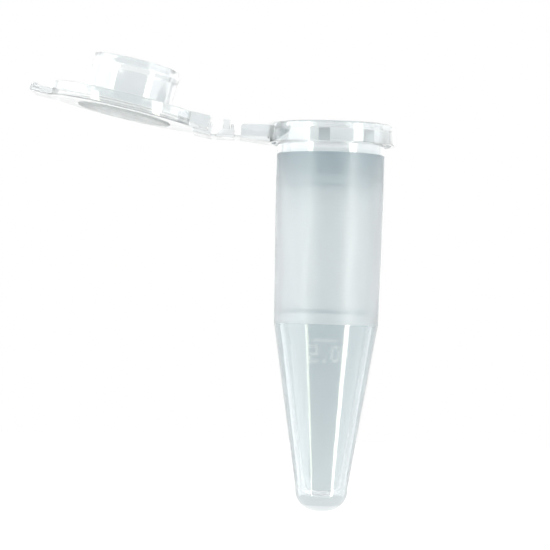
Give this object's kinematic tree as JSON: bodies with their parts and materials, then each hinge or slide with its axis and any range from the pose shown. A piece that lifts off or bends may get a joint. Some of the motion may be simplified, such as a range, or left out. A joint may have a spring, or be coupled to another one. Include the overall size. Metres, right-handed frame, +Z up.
{
  "type": "microcentrifuge tube",
  "caption": "Clear plastic snap-cap microcentrifuge tube with a conical tip, a ribbed collar, raised graduations and a skirted plug lid on a folding strap.",
  "frame": {"origin": "on the tube's axis, level with the collar's underside", "axes": "+Z up the tube's axis out of the mouth; the strap and the open lid lie towards -X; the graduations are on the +Y side"},
  "size_m": [0.0367, 0.0156, 0.0453],
  "materials": {
    "clear_plastic": "polished translucent polypropylene",
    "satin_plastic": "finely frosted translucent polypropylene",
    "raised_marks": "raised polypropylene marks"
  },
  "bodies": {
    "tube": {"neck_wall": "clear_plastic", "mouth_collar": "clear_plastic", "collar_ribs": "clear_plastic", "barrel_shell": "satin_plastic", "cone_shell": "clear_plastic", "rounded_tip": "clear_plastic", "graduation_lines": "raised_marks", "graduation_numbers": "raised_marks", "hinge_web": "clear_plastic", "hinge_ears": "clear_plastic"},
    "strap": {"tube_fold_film": "clear_plastic", "strap_plate": "clear_plastic", "strap_peg": "clear_plastic", "strap_fin": "clear_plastic", "lid_fold_film": "clear_plastic"},
    "lid": {"lid_plate": "clear_plastic", "lid_label_panel": "clear_plastic", "lid_skirt": "clear_plastic", "sealing_plug": "clear_plastic", "plug_bead": "clear_plastic", "thumb_tab": "clear_plastic", "tab_lip": "clear_plastic", "lid_hinge_lug": "clear_plastic", "lid_shoulders": "clear_plastic"}
  },
  "joints": [
    {"name": "strap_fold", "type": "hinge", "parent": "tube", "child": "strap", "pos_m": [-0.00946, 0, 0.00048], "axis": [0, 1, 0], "range_deg": [-10, 93.16], "deforming": ["tube_fold_film"]},
    {"name": "lid_fold", "type": "hinge", "parent": "strap", "child": "lid", "pos_m": [-0.01184, 0, 0.00051], "axis": [0, 1, 0], "range_deg": [-8.1, 75.21], "deforming": ["lid_fold_film"]}
  ],
  "couplings": [
    {"joint": "lid_fold", "follows": "strap_fold", "ratio": 0.80706}
  ]
}
